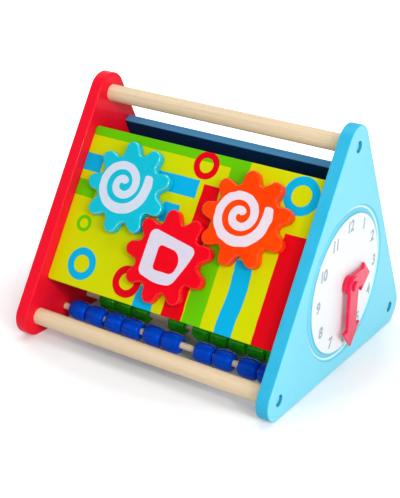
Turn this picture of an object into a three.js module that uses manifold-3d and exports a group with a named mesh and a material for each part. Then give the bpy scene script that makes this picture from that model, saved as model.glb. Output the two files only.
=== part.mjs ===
// A wooden activity prism: two triangular end panels held apart by three round dowels.
// The front slope is a board with three meshing toy gears, the rear slope a chalkboard,
// the base a bead abacus, and one end panel a clock with two hands that are turned by finger.
// Millimetres, +Z up, +X towards the clock, and the gears face -Y. The origin is on the floor
// under the middle of the toy's bounding box.
import * as THREE from "three";
import { mergeVertices } from "three/addons/utils/BufferGeometryUtils.js";
import Module from "manifold-3d";

const wasm = await Module();
wasm.setup();

// Frame
const dowelSpacing = 210; // between the centres of any two dowels
const innerWidth = 232; // between the end panels
const panelThickness = 12;
const panelEdge = 18; // from a dowel's centre to the panel's edge, and the corner's radius
const panelRound = 1.5;
const dowelRadius = 7.5;
const dowelPilotDepth = 26;

// Boards on the two slopes
const boardThickness = 8;
const boardRound = 0.8;
const gearBoardCorner = 3;
const gearBoardStart = 34.4; // up the slope, from the lower dowel's centre
const gearBoardEnd = 32.9; // short of the top dowel's centre
const gearBoardFace = 6.4; // outside the plane of the dowel centres
const chalkBoardCorner = 1;
const chalkBoardStart = 36;
const chalkBoardEnd = 36;
const chalkBoardFace = 9.9;

// Screws that hold the dowels, each under a plug that sits below the panel's face
const screwRadius = 1.9;
const screwReach = 22; // into the dowel
const screwHeadRadius = 4.2;
const screwHeadHeight = 2.8;
const plugRadius = 4.8;
const plugHeight = 2.4;
const plugRecess = 2.5;
const plugCrown = 0.4;

// Gears
const gearTeeth = 9;
const gearPitchRadius = 37.8;
const toothAddendum = 3.5; // above the pitch circle
const toothDedendum = 7.6; // below it
const toothTipShare = 0.2274; // round tip's radius over the arc from tooth to tooth
const toothRootShare = 0.1592; // round root's radius over the same arc
const gearThickness = 8;
const gearRound = 2;
const gearLift = 1; // between the board's face and the gear's back
const gearMargin = 5.6; // between the board's lower edge and the lowest tooth
const gearTrainX = -1; // the middle gear's centre, from the middle of the board
const gearTrainAngle = THREE.MathUtils.degToRad(39.2); // rise from the middle gear to the outer ones
const middleGearPhase = THREE.MathUtils.degToRad(20);
const gearRim = 4; // wall left between the hollow back and the tooth roots
const gearFrontWall = 3;
const hubRadius = 6;
const hubCollar = 2.5; // wall round the hub inside the hollow back
const hubReach = 0.6; // past the board's back
const hubScrewRadius = 1.6;
const hubScrewDepth = 8.4;
const hubScrewFlange = 8.5;
const hubScrewFlangeHeight = 1.4;
const hubScrewDome = 4.5;
const hubScrewDomeHeight = 1.6;

// Clock
const dialRise = 1.9; // of the dial's centre above the panel's middle
const dialRadius = 61;
const grooveWidth = 7;
const grooveDepth = 2;
const pinRadius = 3;
const pinDepth = 9; // into the panel
const pinHeadRadius = 4.6;
const pinHeadHeight = 1.5;
const handHalfWidth = 8.2;
const handHubRadius = 8.8;
const handThickness = 3.1;
const handRound = 0.7;
const handBossRadius = 7;
const handBossHeight = 1.9; // lifts the lower hand off the dial
const hourHand = { length: 37, headLength: 14, headHalf: 13, angle: THREE.MathUtils.degToRad(91) };
const minuteHand = { length: 58, headLength: 18, headHalf: 15.3, angle: THREE.MathUtils.degToRad(176.3) };

// Abacus in the base
const rodRadius = 3;
const rodSeatDepth = 6; // of each rod's end in its panel
const rowPitch = 33.6;
const rodDrop = 4.7; // of the rods below the dowel centres
const beadLength = 18;
const beadRadius = 9.25;
const beadFaceRadius = 5.2;
const beadsPerRow = 10;
const beadsPerBlock = 5; // that slide together in a hidden row

// Clearances
const fitGap = 0.3; // beside and under a piece that is seated
const runGap = 0.4; // round a piece that turns or slides
const overrun = 2; // of every cut past the face that it opens

// Facets
const cornerSteps = 6;
const toothSteps = 3;
const roundSteps = 2;
const ringSides = 48;
const dowelSides = 20;
const smallSides = 10;
const beadSides = 10;
const blockSides = 8;
const beadArcSteps = 4;

// Worked out from the sizes above
const halfInner = innerWidth / 2;
const halfOuter = halfInner + panelThickness;
const dowelRise = dowelSpacing * Math.sin(Math.PI / 3);
const dowelCentres = {
  front: { y: -dowelSpacing / 2, z: panelEdge },
  rear: { y: dowelSpacing / 2, z: panelEdge },
  top: { y: 0, z: panelEdge + dowelRise },
};
const dialHeight = panelEdge + dowelRise / 3 + dialRise;
const rodHeight = panelEdge - rodDrop;
const screwSeatDepth = plugRecess + plugHeight + fitGap + screwHeadHeight + fitGap;
const gearTipRadius = gearPitchRadius + toothAddendum;
const gearRootRadius = gearPitchRadius - toothDedendum;
const toothArc = (2 * Math.PI * gearPitchRadius) / gearTeeth;
const hubLength = gearLift + boardThickness + hubReach;
const hourHandBase = fitGap + handBossHeight;
const minuteHandBase = hourHandBase + handThickness + fitGap;
const pinHeadBase = minuteHandBase + handThickness + fitGap;
const handStack = pinHeadBase + pinHeadHeight;

const paint = (color, roughness) => new THREE.MeshStandardMaterial({ color, roughness, metalness: 0 });
const redPaint = paint(0xf0142d, 0.35);
const lightBluePaint = paint(0x8fe6f7, 0.4);
const paleWood = paint(0xecd2a8, 0.65);
const limePrint = paint(0xd2d700, 0.4);
const navyPaint = paint(0x0a1a38, 0.55);
const cyanPlastic = paint(0x00bee1, 0.25);
const redPlastic = paint(0xf0001e, 0.25);
const orangePlastic = paint(0xff4a00, 0.25);
const handPlastic = paint(0xff3c64, 0.3);
const blueBeadPaint = paint(0x003cbe, 0.3);
const greenBeadPaint = paint(0x007814, 0.3);
const yellowBeadPaint = paint(0xf0c800, 0.3);
const orangeBeadPaint = paint(0xff6a00, 0.3);
const redBeadPaint = paint(0xdc1423, 0.3);
const screwSteel = new THREE.MeshStandardMaterial({ color: 0xb8bcc0, roughness: 0.35, metalness: 1 });

const xAxis = new THREE.Vector3(1, 0, 0);
const yAxis = new THREE.Vector3(0, 1, 0);
const zAxis = new THREE.Vector3(0, 0, 1);

// A closed geometry as a solid that can be joined and cut.
function solid(geometry) {
  const bare = geometry.clone();
  bare.deleteAttribute("normal");
  bare.deleteAttribute("uv");
  const merged = mergeVertices(bare, 1e-4);
  const mesh = new wasm.Mesh({
    numProp: 3,
    vertProperties: merged.attributes.position.array,
    triVerts: new Uint32Array(merged.index.array),
  });
  return new wasm.Manifold(mesh);
}

// A solid as a geometry again.
function geometryOf(body) {
  const { vertProperties, triVerts } = body.getMesh();
  const geometry = new THREE.BufferGeometry();
  geometry.setAttribute("position", new THREE.BufferAttribute(vertProperties, 3));
  geometry.setIndex(new THREE.BufferAttribute(triVerts, 1));
  geometry.computeVertexNormals();
  return geometry;
}

function cut(geometry, tools) {
  return geometryOf(tools.reduce((body, tool) => body.subtract(solid(tool)), solid(geometry)));
}

function join(geometry, other) {
  return geometryOf(solid(geometry).add(solid(other)));
}

function named(name, geometry, material) {
  const mesh = new THREE.Mesh(geometry, material);
  mesh.name = name;
  return mesh;
}

// A profile of [place along the axis, radius] points turned about X or about Z.
function turned(profile, sides) {
  return new THREE.LatheGeometry(profile.map(([along, radius]) => new THREE.Vector2(radius, along)), sides);
}

function turnedAboutX(profile, sides) {
  return turned(profile, sides).applyMatrix4(new THREE.Matrix4().makeBasis(zAxis, xAxis, yAxis));
}

function turnedAboutZ(profile, sides) {
  return turned(profile, sides).applyMatrix4(new THREE.Matrix4().makeBasis(yAxis, zAxis, xAxis));
}

function cylinder(from, to, radius) {
  return [[from, 0], [from, radius], [to, radius], [to, 0]];
}

// An outline made into a plate from z 0 up to its thickness, with both rims rounded.
function plate(shape, thickness, round, steps) {
  const geometry = new THREE.ExtrudeGeometry(shape, {
    depth: thickness - 2 * round,
    bevelThickness: round,
    bevelSize: round,
    bevelOffset: -round,
    bevelSegments: roundSteps,
    curveSegments: steps,
  });
  return geometry.translate(0, 0, round);
}

// End panels: the same rounded triangle, drawn in the Y-Z plane and laid on the inner face.
function panelBlank() {
  const shape = new THREE.Shape();
  const third = (2 * Math.PI) / 3;
  const corners = [dowelCentres.front, dowelCentres.rear, dowelCentres.top];
  corners.forEach(({ y, z }, index) => {
    const start = (5 * Math.PI) / 6 + index * third;
    shape.absarc(y, z, panelEdge, start, start + third, false);
  });
  const blank = plate(shape, panelThickness, panelRound, cornerSteps);
  blank.applyMatrix4(new THREE.Matrix4().makeBasis(yAxis, zAxis, xAxis));
  return blank.translate(halfInner, 0, 0);
}

function screwHoles() {
  const seat = halfOuter - screwSeatDepth;
  return Object.values(dowelCentres).flatMap(({ y, z }) => [
    turnedAboutX(cylinder(seat, halfOuter + overrun, plugRadius + fitGap), smallSides).translate(0, y, z),
    turnedAboutX(cylinder(halfInner - overrun, halfOuter, screwRadius + fitGap), smallSides).translate(0, y, z),
  ]);
}

function rowPlaces() {
  const rows = [];
  for (let row = -2; row <= 2; row += 1) rows.push(row * rowPitch);
  return rows;
}

function rodSeats() {
  const profile = cylinder(halfInner - overrun, halfInner + rodSeatDepth + fitGap, rodRadius + fitGap);
  return rowPlaces().map((y) => turnedAboutX(profile, smallSides).translate(0, y, rodHeight));
}

// The milled ring round the dial is a half-round groove.
function dialGroove() {
  const middle = dialRadius + grooveWidth / 2;
  const profile = [[halfOuter + overrun, middle + grooveWidth / 2]];
  const steps = 2 * roundSteps;
  for (let step = 0; step <= steps; step += 1) {
    const turn = (Math.PI * step) / steps;
    profile.push([halfOuter - grooveDepth * Math.sin(turn), middle + (grooveWidth / 2) * Math.cos(turn)]);
  }
  profile.push([halfOuter + overrun, middle - grooveWidth / 2], profile[0]);
  return turnedAboutX(profile.reverse(), ringSides).translate(0, 0, dialHeight);
}

function pinSeat() {
  const profile = cylinder(halfOuter - pinDepth - fitGap, halfOuter + overrun, pinRadius + fitGap);
  return turnedAboutX(profile, smallSides).translate(0, 0, dialHeight);
}

function endPanel(name, material, extraCuts) {
  return named(name, cut(panelBlank(), [...screwHoles(), ...rodSeats(), ...extraCuts]), material);
}

// A screw and the plug over it, at one dowel, for the end towards +X.
function panelScrew(name, { y, z }) {
  const seat = halfOuter - screwSeatDepth + fitGap;
  const tip = halfInner - screwReach;
  const profile = [
    [tip, 0],
    [tip + screwRadius, screwRadius],
    [seat, screwRadius],
    [seat, screwHeadRadius],
    [seat + screwHeadHeight / 2, screwHeadRadius],
    [seat + screwHeadHeight, screwHeadRadius / 2],
    [seat + screwHeadHeight, 0],
  ];
  return named(name, turnedAboutX(profile, smallSides).translate(0, y, z), screwSteel);
}

function screwPlug(name, { y, z }, material) {
  const top = halfOuter - plugRecess;
  const profile = [
    [top - plugHeight, 0],
    [top - plugHeight, plugRadius],
    [top - plugCrown, plugRadius],
    [top, plugRadius - plugCrown],
    [top, 0],
  ];
  return named(name, turnedAboutX(profile, smallSides).translate(0, y, z), material);
}

function endFittings(side, material, places) {
  return Object.entries(places).flatMap(([place, centre]) => [
    panelScrew(`${side}_${place}_screw`, centre),
    screwPlug(`${side}_${place}_screw_plug`, centre, material),
  ]);
}

// Dowels run from panel to panel, with a pilot bore for a screw in each end.
function dowel(name, { y, z }) {
  const bore = screwRadius + fitGap;
  const boreEnd = halfInner - dowelPilotDepth;
  const profile = [
    [-boreEnd, 0],
    [-boreEnd, bore],
    [-halfInner, bore],
    [-halfInner, dowelRadius],
    [halfInner, dowelRadius],
    [halfInner, bore],
    [boreEnd, bore],
    [boreEnd, 0],
  ];
  return named(name, turnedAboutX(profile, dowelSides).translate(0, y, z), paleWood);
}

// A group whose local Y runs up a slope and whose local Z points out of it, from the lower dowel's centre.
function slope(turn) {
  const side = new THREE.Group();
  side.rotation.z = turn;
  const face = new THREE.Group();
  face.position.set(0, dowelCentres.front.y, dowelCentres.front.z);
  face.rotation.x = Math.PI / 3;
  side.add(face);
  return { side, face };
}

function board(start, end, corner) {
  const shape = new THREE.Shape();
  const side = halfInner - corner;
  const bottom = start + corner;
  const top = dowelSpacing - end - corner;
  shape.absarc(side, bottom, corner, -Math.PI / 2, 0, false);
  shape.absarc(side, top, corner, 0, Math.PI / 2, false);
  shape.absarc(-side, top, corner, Math.PI / 2, Math.PI, false);
  shape.absarc(-side, bottom, corner, Math.PI, 1.5 * Math.PI, false);
  return plate(shape, boardThickness, boardRound, roundSteps).translate(0, 0, -boardThickness);
}

// Gear centres on the board, and the phases that put a tooth of one in a gap of the next.
function gearPlaces() {
  const apart = 2 * gearPitchRadius;
  const middleY = gearBoardStart + gearMargin + gearTipRadius;
  const outer = (angle) => ({
    x: gearTrainX + apart * Math.cos(angle),
    y: middleY + apart * Math.sin(angle),
    phase: 2 * angle - middleGearPhase + Math.PI + Math.PI / gearTeeth,
  });
  return {
    cyan: outer(Math.PI - gearTrainAngle),
    red: { x: gearTrainX, y: middleY, phase: middleGearPhase },
    orange: outer(gearTrainAngle),
  };
}

// The toothed outline: each tooth is a round tip, each gap a round root, and the flank between
// them is the straight line that touches both arcs.
function gearOutline(phase) {
  const tipRadius = toothTipShare * toothArc;
  const rootRadius = toothRootShare * toothArc;
  const tipCentre = gearTipRadius - tipRadius;
  const rootCentre = gearRootRadius + rootRadius;
  const halfPitch = Math.PI / gearTeeth;
  const across = rootCentre * Math.sin(halfPitch);
  const outward = rootCentre * Math.cos(halfPitch) - tipCentre;
  const apart = Math.hypot(across, outward);
  const flank = Math.atan2(across, outward) - Math.acos((tipRadius + rootRadius) / apart);
  const shape = new THREE.Shape();
  for (let tooth = 0; tooth < gearTeeth; tooth += 1) {
    const middle = phase + 2 * tooth * halfPitch;
    const gap = middle + halfPitch;
    const [tipX, tipY] = [tipCentre * Math.cos(middle), tipCentre * Math.sin(middle)];
    const [rootX, rootY] = [rootCentre * Math.cos(gap), rootCentre * Math.sin(gap)];
    shape.absarc(tipX, tipY, tipRadius, middle - flank, middle + flank, false);
    shape.absarc(rootX, rootY, rootRadius, middle + flank + Math.PI, gap + halfPitch - flank + Math.PI, true);
  }
  return shape;
}

// The ring that is left open in the moulded gear's back, between its hub and its rim.
function gearHollow() {
  const inner = hubRadius + hubCollar;
  const outer = gearRootRadius - gearRim;
  const floor = gearThickness - gearFrontWall;
  const profile = [[-overrun, inner], [-overrun, outer], [floor, outer], [floor, inner], [-overrun, inner]];
  return turnedAboutZ(profile, dowelSides);
}

// A moulded gear, its back at z 0 and its front rim rounded, on a hub that runs through the board.
function gear(name, phase, material) {
  const full = gearThickness + gearRound;
  const blank = plate(gearOutline(phase), full, gearRound, toothSteps).translate(0, 0, -gearRound);
  const span = 2 * (gearTipRadius + overrun);
  const back = new THREE.BoxGeometry(span, span, gearRound + overrun);
  back.translate(0, 0, -(gearRound + overrun) / 2);
  const bore = hubScrewRadius + fitGap;
  const boreEnd = -hubLength + hubScrewDepth + fitGap;
  const hub = turnedAboutZ([
    [boreEnd, 0],
    [boreEnd, bore],
    [-hubLength, bore],
    [-hubLength, hubRadius],
    [gearThickness / 2, hubRadius],
    [gearThickness / 2, 0],
  ], dowelSides);
  return named(name, join(cut(blank, [back, gearHollow()]), hub), material);
}

// The flanged screw that keeps a gear's hub in the board and turns with it.
function gearScrew(name) {
  const seat = -hubLength - fitGap;
  const domeBase = seat - hubScrewFlangeHeight;
  const profile = [
    [domeBase - hubScrewDomeHeight, 0],
    [domeBase - hubScrewDomeHeight, hubScrewDome / 2],
    [domeBase, hubScrewDome],
    [domeBase, hubScrewFlange],
    [seat, hubScrewFlange],
    [seat, hubScrewRadius],
    [seat + hubScrewDepth - hubScrewRadius, hubScrewRadius],
    [seat + hubScrewDepth, 0],
  ];
  return named(name, turnedAboutZ(profile, smallSides), screwSteel);
}

function gearSlope() {
  const { side, face } = slope(0);
  const surface = new THREE.Group();
  surface.position.z = gearBoardFace;
  face.add(surface);
  const places = gearPlaces();
  const hubHole = turnedAboutZ(cylinder(-boardThickness - overrun, overrun, hubRadius + runGap), dowelSides);
  const holes = Object.values(places).map(({ x, y }) => hubHole.clone().translate(x, y, 0));
  const blank = board(gearBoardStart, gearBoardEnd, gearBoardCorner);
  surface.add(named("gear_board", cut(blank, holes), limePrint));
  const plastics = { cyan: cyanPlastic, red: redPlastic, orange: orangePlastic };
  for (const [colour, { x, y, phase }] of Object.entries(places)) {
    const seat = new THREE.Group();
    seat.position.set(x, y, gearLift);
    seat.add(gear(`${colour}_gear`, phase, plastics[colour]), gearScrew(`${colour}_gear_screw`));
    surface.add(seat);
  }
  return side;
}

function chalkSlope() {
  const { side, face } = slope(Math.PI);
  const surface = new THREE.Group();
  surface.position.z = chalkBoardFace;
  const blank = board(chalkBoardStart, chalkBoardEnd, chalkBoardCorner);
  surface.add(named("chalk_board", blank, navyPaint));
  face.add(surface);
  return side;
}

// A clock hand: a bar with a round end at the pin and a barbed arrowhead, pointing up local Y.
function handBlank({ length, headLength, headHalf }) {
  const shape = new THREE.Shape();
  const shoulder = Math.acos(handHalfWidth / handHubRadius);
  const neck = length - headLength;
  shape.absarc(0, 0, handHubRadius, Math.PI - shoulder, shoulder, false);
  shape.lineTo(handHalfWidth, neck);
  shape.lineTo(headHalf, neck);
  shape.lineTo(0, length);
  shape.lineTo(-headHalf, neck);
  shape.lineTo(-handHalfWidth, neck);
  return plate(shape, handThickness, handRound, cornerSteps);
}

// Local Y and Z of a hand on the panel: Y up, Z out of the dial, turned clockwise from twelve.
function onDial(mesh, base, angle) {
  const seat = new THREE.Group();
  const turn = new THREE.Group();
  seat.position.set(halfOuter + base, 0, dialHeight);
  seat.setRotationFromMatrix(new THREE.Matrix4().makeBasis(yAxis, zAxis, xAxis));
  turn.rotation.z = -angle;
  turn.add(mesh);
  seat.add(turn);
  return seat;
}

function clock() {
  const bore = turnedAboutZ(cylinder(-handStack, handStack, pinRadius + runGap), smallSides);
  const boss = turnedAboutZ(cylinder(-handBossHeight, handThickness / 2, handBossRadius), dowelSides);
  const hour = named("hour_hand", cut(join(handBlank(hourHand), boss), [bore]), handPlastic);
  const minute = named("minute_hand", cut(handBlank(minuteHand), [bore]), handPlastic);
  const pin = named("clock_pin", turnedAboutZ([
    [-pinDepth, 0],
    [-pinDepth, pinRadius],
    [pinHeadBase, pinRadius],
    [pinHeadBase, pinHeadRadius],
    [pinHeadBase + pinHeadHeight / 2, pinHeadRadius],
    [pinHeadBase + pinHeadHeight, pinHeadRadius / 2],
    [pinHeadBase + pinHeadHeight, 0],
  ], smallSides), handPlastic);
  return [
    onDial(hour, hourHandBase, hourHand.angle),
    onDial(minute, minuteHandBase, minuteHand.angle),
    onDial(pin, 0, 0),
  ];
}

// A rod of the abacus, with both ends in the panels.
function abacusRod(row, y) {
  const end = halfInner + rodSeatDepth;
  const geometry = turnedAboutX(cylinder(-end, end, rodRadius), smallSides);
  return named(`abacus_rod_${row + 1}`, geometry.translate(0, y, rodHeight), paleWood);
}

// One bead, or a block of beads that touch, centred on the axis and bored for the rod.
function beads(count, sides) {
  const start = (-count * beadLength) / 2;
  const bore = rodRadius + runGap;
  const profile = [[start, bore]];
  for (let step = 0; step <= count * beadArcSteps; step += 1) {
    const bead = Math.min(Math.floor(step / beadArcSteps), count - 1);
    const turn = (Math.PI * (step - bead * beadArcSteps)) / beadArcSteps;
    const along = start + beadLength * (bead + (1 - Math.cos(turn)) / 2);
    profile.push([along, beadFaceRadius + (beadRadius - beadFaceRadius) * Math.sin(turn)]);
  }
  profile.push([-start, bore], profile[0]);
  return turnedAboutX(profile, sides);
}

// The rows from the front: each has its beads' names, how many slide as one, and the shares of
// the rod's free length that lie before each of them and after the last.
const beadRows = [
  {
    name: (index) => `blue_bead_${index + 1}`,
    block: 1,
    gapShares: [80, 13, 30, 10, 44, 14, 152, 15, 63, 12, 87],
    material: blueBeadPaint,
  },
  {
    name: (index) => `green_bead_${index + 1}`,
    block: 1,
    gapShares: [172, 5, 6, 216, 78, 5, 5, 9, 8, 8, 8],
    material: greenBeadPaint,
  },
  {
    name: (index) => `yellow_beads_${index + 1}`,
    block: beadsPerBlock,
    gapShares: [30, 45, 25],
    material: yellowBeadPaint,
  },
  {
    name: (index) => `orange_beads_${index + 1}`,
    block: beadsPerBlock,
    gapShares: [10, 50, 40],
    material: orangeBeadPaint,
  },
  {
    name: (index) => `red_beads_${index + 1}`,
    block: beadsPerBlock,
    gapShares: [45, 30, 25],
    material: redBeadPaint,
  },
];

function beadRow({ name, block, gapShares, material }, y) {
  const freeLength = innerWidth - beadsPerRow * beadLength;
  const whole = gapShares.reduce((sum, share) => sum + share, 0);
  const blockLength = block * beadLength;
  const sides = block > 1 ? blockSides : beadSides;
  const blocks = [];
  let edge = -halfInner;
  for (let index = 0; index < beadsPerRow / block; index += 1) {
    edge += (freeLength * gapShares[index]) / whole;
    const piece = named(name(index), beads(block, sides), material);
    piece.position.set(edge + blockLength / 2, y, rodHeight);
    blocks.push(piece);
    edge += blockLength;
  }
  return blocks;
}

function blueEnd() {
  const end = new THREE.Group();
  end.add(endPanel("blue_end_panel", lightBluePaint, [dialGroove(), pinSeat()]));
  end.add(...endFittings("blue", lightBluePaint, dowelCentres));
  return end;
}

function redEnd() {
  const { front, rear, top } = dowelCentres;
  const end = new THREE.Group();
  end.rotation.z = Math.PI;
  end.add(endPanel("red_end_panel", redPaint, []));
  end.add(...endFittings("red", redPaint, { front: rear, rear: front, top }));
  return end;
}

const toy = new THREE.Group();
toy.position.x = -handStack / 2;
toy.add(blueEnd(), redEnd(), gearSlope(), chalkSlope(), ...clock());
for (const [place, centre] of Object.entries(dowelCentres)) toy.add(dowel(`${place}_dowel`, centre));
rowPlaces().forEach((y, row) => toy.add(abacusRod(row, y), ...beadRow(beadRows[row], y)));

const root = new THREE.Group();
root.add(toy);

export default root;
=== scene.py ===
from math import acos, asin, atan2, copysign, cos, hypot, pi, radians, sin, sqrt

import bmesh
import bpy
from mathutils import Matrix, Vector


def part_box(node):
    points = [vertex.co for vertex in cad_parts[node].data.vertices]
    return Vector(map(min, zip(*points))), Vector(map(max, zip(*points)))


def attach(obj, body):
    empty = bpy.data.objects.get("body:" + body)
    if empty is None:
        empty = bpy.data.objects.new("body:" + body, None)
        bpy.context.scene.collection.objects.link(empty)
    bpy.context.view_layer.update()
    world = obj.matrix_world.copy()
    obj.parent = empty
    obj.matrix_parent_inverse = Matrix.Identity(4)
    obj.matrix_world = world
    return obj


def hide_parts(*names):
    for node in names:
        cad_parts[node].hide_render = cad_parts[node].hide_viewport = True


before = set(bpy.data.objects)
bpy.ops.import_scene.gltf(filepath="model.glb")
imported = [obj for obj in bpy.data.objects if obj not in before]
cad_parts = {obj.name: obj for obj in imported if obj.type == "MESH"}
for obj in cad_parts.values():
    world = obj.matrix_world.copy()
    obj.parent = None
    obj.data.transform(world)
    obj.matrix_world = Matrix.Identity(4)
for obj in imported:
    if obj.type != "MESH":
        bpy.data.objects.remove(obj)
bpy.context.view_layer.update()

mm = 0.001


# ----------------------------------------
# End panels. Two rounded triangles of 12 mm board, one sprayed red and one light blue, hold the
# whole toy together. Each is cut out, eased along both rims, drilled for the dowel screws and
# the bead rods, and given a gloss coat; the blue one also has a groove milled round its dial.

panel_faces = {"red": (-121.25 * mm, -133.25 * mm), "blue": (110.75 * mm, 122.75 * mm)}  # inner, outer
panel_corner = 18 * mm
panel_rim = 1.5 * mm
dowel_spread = 105 * mm
dowel_centres = {
    "front": (-dowel_spread, panel_corner),
    "rear": (dowel_spread, panel_corner),
    "top": (0, panel_corner + 2 * dowel_spread * sin(pi / 3)),
}
screw_well_radius = 5.1 * mm
screw_well_depth = 8.3 * mm
screw_bore_radius = 2.2 * mm
rod_rows = [row * 33.6 * mm for row in (-2, -1, 0, 1, 2)]
rod_height = 13.3 * mm
rod_seat_radius = 3.3 * mm
rod_seat_depth = 6.3 * mm
dial_centre = Vector((122.75 * mm, 0, 80.522 * mm))
dial_radius = 61 * mm
groove_width = 7 * mm
groove_depth = 2 * mm
groove_lift = 0.1 * mm  # of the cutter's centre above the face, so that it cuts cleanly
rim_tolerance = 0.06 * mm
pin_seat_radius = 3.3 * mm
pin_seat_depth = 9.3 * mm
drill_spare = 1 * mm
tiny = 0.01 * mm
along_x = (0, pi / 2, 0)  # the turn that lays a cylinder along X


def add(name, primitive, **settings):
    """A new primitive, named, with nothing else selected."""
    bpy.ops.object.select_all(action="DESELECT")
    primitive(**settings)
    piece = bpy.context.active_object
    piece.name = piece.data.name = name
    return piece


def cylinder(name, sides, radius, length, middle=(0, 0, 0), turn=(0, 0, 0)):
    """A round bar with its place in its mesh. It stands along Z unless it is turned."""
    piece = add(name, bpy.ops.mesh.primitive_cylinder_add, vertices=sides, radius=radius, depth=length,
                location=middle, rotation=turn)
    settle(piece)
    return piece


def only(piece):
    bpy.ops.object.select_all(action="DESELECT")
    piece.select_set(True)
    bpy.context.view_layer.objects.active = piece


def settle(piece):
    """Puts the piece's place, turn and scale into its mesh."""
    only(piece)
    bpy.ops.object.transform_apply(location=True, rotation=True, scale=True)


def put(piece, place=(0, 0, 0), turn=(0, 0, 0), scale=(1, 1, 1)):
    """Scales, turns and moves a piece, and keeps that in its mesh."""
    piece.location, piece.rotation_euler, piece.scale = place, turn, scale
    settle(piece)


def edit(piece):
    only(piece)
    bpy.ops.object.mode_set(mode="EDIT")


def done():
    bpy.ops.object.mode_set(mode="OBJECT")


def everything():
    bpy.ops.mesh.select_all(action="SELECT")


def draw_by(*step):
    """In edit mode, extrudes what is selected by that step."""
    bpy.ops.mesh.extrude_region_move(TRANSFORM_OT_translate={"value": step})


def turn_out():
    """In edit mode, turns every face outward."""
    everything()
    bpy.ops.mesh.normals_make_consistent(inside=False)


def pick(piece, kind, test):
    """In edit mode, selects the corners, edges or faces that pass the test, and nothing else."""
    bpy.ops.mesh.select_mode(type=kind)
    bpy.ops.mesh.select_all(action="DESELECT")
    shape = bmesh.from_edit_mesh(piece.data)
    for item in {"VERT": shape.verts, "EDGE": shape.edges, "FACE": shape.faces}[kind]:
        if test(item):
            item.select_set(True)
    shape.select_flush_mode()
    bmesh.update_edit_mesh(piece.data)


def flat_at(axis, *levels):
    """A test for edges or faces that lie wholly at one of those levels of an axis."""
    def at(item, level):
        return all(abs(corner.co[axis] - level) < tiny for corner in item.verts)
    return lambda item: any(at(item, level) for level in levels)


def round_over(piece, test, size, steps):
    """In edit mode, rounds over the edges that pass the test."""
    pick(piece, "EDGE", test)
    bpy.ops.mesh.bevel(offset=size, segments=steps, affect="EDGES", clamp_overlap=False)


def inset(piece, test, width):
    """In edit mode, sets a smaller face into the face that passes the test, and selects it."""
    pick(piece, "FACE", test)
    bpy.ops.mesh.inset(thickness=width)


def face_out(piece):
    edit(piece)
    everything()
    bpy.ops.mesh.remove_doubles(threshold=tiny / 4)
    turn_out()
    done()


def boolean(piece, tool, operation="DIFFERENCE"):
    """Cuts the tool out of the piece, or joins it on, and throws the tool away."""
    face_out(tool)
    only(piece)
    step = piece.modifiers.new("cut", "BOOLEAN")
    step.operation, step.solver, step.object = operation, "EXACT", tool
    bpy.ops.object.modifier_apply(modifier=step.name)
    bpy.data.objects.remove(tool)


def shade(piece, degrees=32):
    """Smooth shading that keeps the flats flat and the crisp edges crisp."""
    only(piece)
    bpy.ops.object.shade_smooth_by_angle(angle=radians(degrees))
    step = piece.modifiers.new("flats", "WEIGHTED_NORMAL")
    step.keep_sharp = True
    bpy.ops.object.modifier_apply(modifier=step.name)


def merged(name, pieces):
    bpy.ops.object.select_all(action="DESELECT")
    for piece in pieces:
        piece.select_set(True)
    bpy.context.view_layer.objects.active = pieces[0]
    bpy.ops.object.join()
    pieces[0].name = pieces[0].data.name = name
    return pieces[0]


def dress(piece, finish):
    piece.data.materials.clear()
    piece.data.materials.append(finish.material)


def fit(piece, finish, body, slot, *nodes):
    """Gives a finished piece its material and its body, and hides the solids that it stands for. The
    slot is not used.
    """
    dress(piece, finish)
    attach(piece, body)
    if nodes:
        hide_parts(*nodes)


class Field:
    """A value that varies over a finish, for shader maths written as expressions."""

    def __init__(self, nodes, socket):
        self.nodes, self.socket = nodes, socket

    def maths(self, operation, *values, **settings):
        settings["operation"] = operation
        return self.nodes.node("Math", settings, dict(enumerate(values)))

    __add__ = __radd__ = lambda self, other: self.maths("ADD", self, other)
    __mul__ = __rmul__ = lambda self, other: self.maths("MULTIPLY", self, other)
    __sub__ = lambda self, other: self.maths("SUBTRACT", self, other)
    __rsub__ = lambda self, other: self.maths("SUBTRACT", other, self)
    __pow__ = lambda self, other: self.maths("POWER", self, other)
    __abs__ = lambda self: self.maths("ABSOLUTE", self)

    def sine(self):
        return self.maths("SINE", self)

    def either(self, other):
        return self.maths("MAXIMUM", self, other)

    def below(self, edge, soft):
        """1 where the value is under the edge, 0 over it, and a ramp of that softness between."""
        return self.maths("MULTIPLY_ADD", self, -1 / soft, 0.5 + edge / soft, use_clamp=True)

    def within(self, low, high, soft):
        """1 between two values."""
        return abs(self - (low + high) / 2).below((high - low) / 2, soft)


def apart(across, rise, centre):
    """How far a pair of varying coordinates is from a fixed point."""
    return ((across - centre[0]) ** 2 + (rise - centre[1]) ** 2) ** 0.5


def colour(tint, factor=1):
    """A colour as it is seen, 0 to 255, for a shader's colour socket."""
    seen = [min(255, part * factor) / 255 for part in tint]
    return [part / 12.92 if part < 0.04045 else ((part + 0.055) / 1.055) ** 2.4 for part in seen] + [1]


class Nodes:
    """A shader's node tree, whose nodes are all made by one method."""

    def __init__(self, tree):
        self.tree = tree

    def node(self, kind, settings, sockets, output=0):
        made = self.tree.nodes.new("ShaderNode" + kind)
        for name, value in settings.items():
            setattr(made, name, value)
        for name, value in sockets.items():
            self.feed(made.inputs[name], value)
        return Field(self, made.outputs[output])

    def feed(self, socket, value):
        if isinstance(value, Field):
            self.tree.links.new(value.socket, socket)
        else:
            socket.default_value = value

    def mix(self, share, low, high, blend="MIX"):
        settings = {"data_type": "RGBA", "blend_type": blend}
        return self.node("Mix", settings, {0: share, 6: low, 7: high}, 2)


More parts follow.
